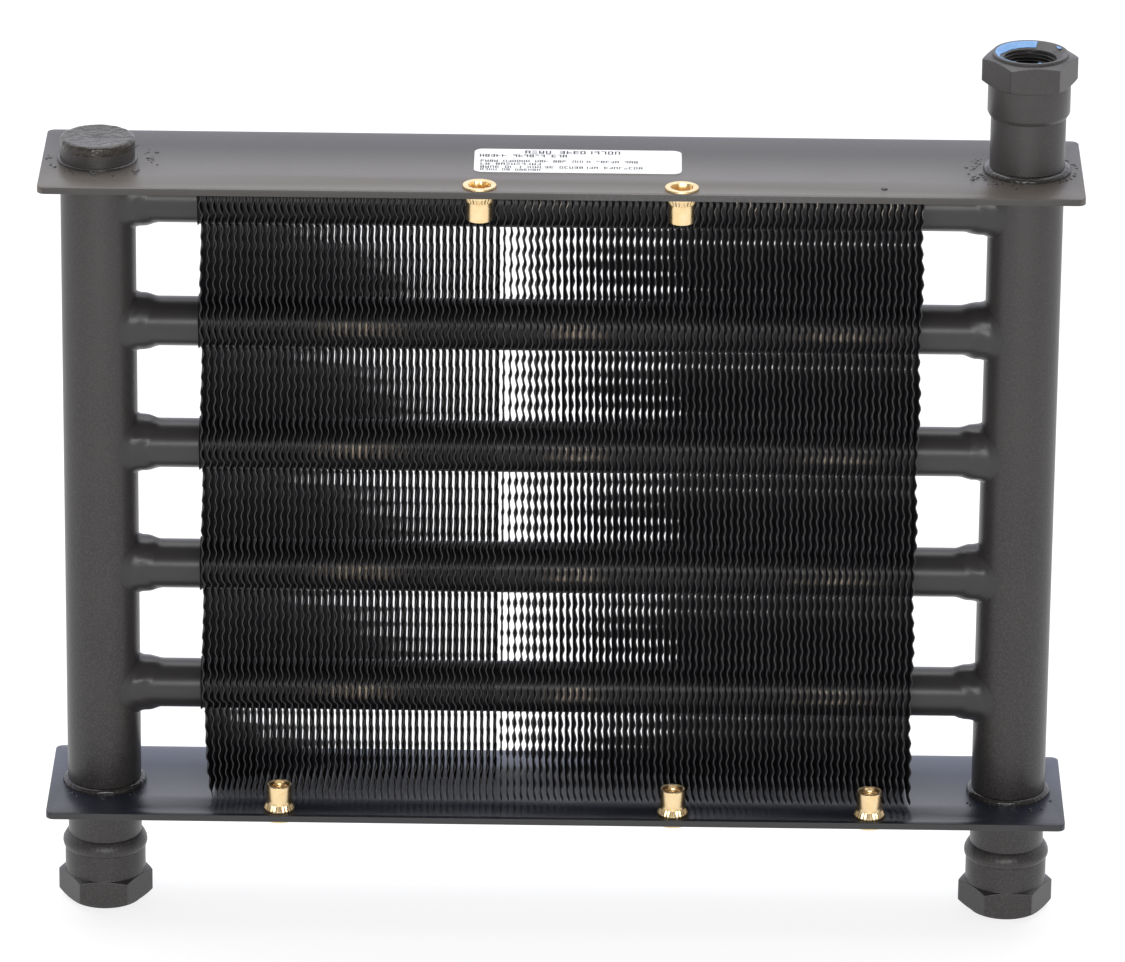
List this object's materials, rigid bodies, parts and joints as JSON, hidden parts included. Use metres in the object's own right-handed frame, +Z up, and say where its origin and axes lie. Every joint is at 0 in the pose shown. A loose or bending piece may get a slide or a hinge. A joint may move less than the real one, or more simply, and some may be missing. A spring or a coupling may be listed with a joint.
{
  "type": "hydraulic oil cooler",
  "caption": "Fin-and-tube hydraulic oil cooler: flat end plates, two vertical headers with hex threaded ports, a row of core tubes through rippled fins, and rivet nuts for a fan shroud.",
  "frame": {"origin": "on the ground under the middle of the core, in the plane of the two lower port mouths", "axes": "+X to the right along the core tubes, +Y to the back, with the rivet nuts at the front, +Z up along the headers"},
  "size_m": [0.526, 0.0888, 0.4703],
  "materials": {
    "frame_paint": "satin black paint with a fine grain on steel",
    "core_tube_paint": "satin black paint on copper tube, bare copper showing between the fins",
    "fin_paint": "thin black paint on rippled sheet",
    "yellow_zinc": "yellow zinc plating",
    "bare_steel": "bare rolled strip",
    "label_white": "printed white film",
    "film_blue": "thin blue film"
  },
  "bodies": {
    "root": {"top_plate": "frame_paint", "bottom_plate": "frame_paint", "left_header": "frame_paint", "right_header": "frame_paint", "left_header_cap": "frame_paint", "top_right_port": "frame_paint", "bottom_left_port": "frame_paint", "bottom_right_port": "frame_paint", "bottom_left_port_weld": "frame_paint", "bottom_right_port_weld": "frame_paint", "left_cap_weld": "frame_paint", "right_header_weld": "frame_paint", "header_foot_welds": "frame_paint", "left_tube_joints": "frame_paint", "right_tube_joints": "frame_paint", "core_tube_1": "core_tube_paint", "turbulator_1": "bare_steel", "core_tube_2": "core_tube_paint", "turbulator_2": "bare_steel", "core_tube_3": "core_tube_paint", "turbulator_3": "bare_steel", "core_tube_4": "core_tube_paint", "turbulator_4": "bare_steel", "core_tube_5": "core_tube_paint", "turbulator_5": "bare_steel", "fin_stack": "fin_paint", "top_rivet_nuts": "yellow_zinc", "bottom_rivet_nuts": "yellow_zinc", "nameplate": "label_white", "masking_film": "film_blue"}
  },
  "joints": []
}
